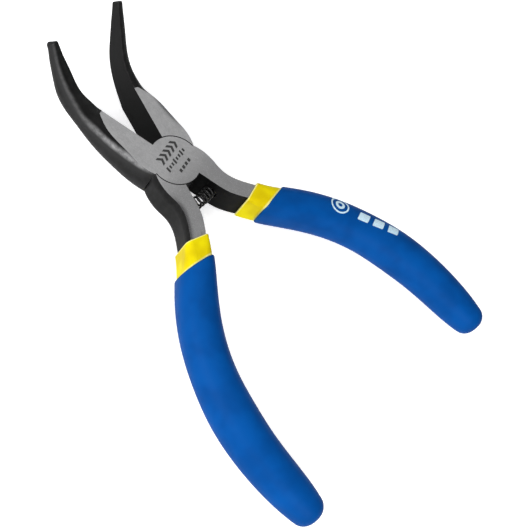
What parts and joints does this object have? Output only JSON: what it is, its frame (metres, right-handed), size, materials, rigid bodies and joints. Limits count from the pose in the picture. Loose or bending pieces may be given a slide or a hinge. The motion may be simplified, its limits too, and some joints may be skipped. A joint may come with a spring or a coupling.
{
  "type": "bent needle nose pliers",
  "caption": "Small spring-opened pliers with long jaws bent upward, a riveted lap joint and thick soft dipped handles.",
  "frame": {"origin": "pivot axis where it meets the flat underside of the joint", "axes": "+Y towards the nose, midway between the two handles; +X towards the handle of the upper half; +Z out of the joint's upper face, the way the jaws bend"},
  "size_m": [0.0796, 0.1169, 0.0229],
  "materials": {
    "forged_steel": "black oxide on the forged sides, flats ground bright",
    "rivet_steel": "ground flush",
    "spring_wire": "black oxide",
    "yellow_dip": "satin vinyl dip",
    "blue_dip": "soft satin vinyl dip"
  },
  "bodies": {
    "upper": {"upper_half": "forged_steel", "pivot_rivet": "rivet_steel", "upper_inner_sleeve": "yellow_dip", "upper_outer_grip": "blue_dip", "return_spring": "spring_wire"},
    "lower": {"lower_half": "forged_steel", "lower_inner_sleeve": "yellow_dip", "lower_outer_grip": "blue_dip"}
  },
  "joints": [
    {"name": "pivot", "type": "hinge", "parent": "upper", "child": "lower", "pos_m": [0, 0, 0], "axis": [0, 0, 1], "range_deg": [0, 31.3], "stiffness_Nm_per_rad": 0.08, "springref_deg": -20.05, "deforming": ["return_spring"]}
  ]
}
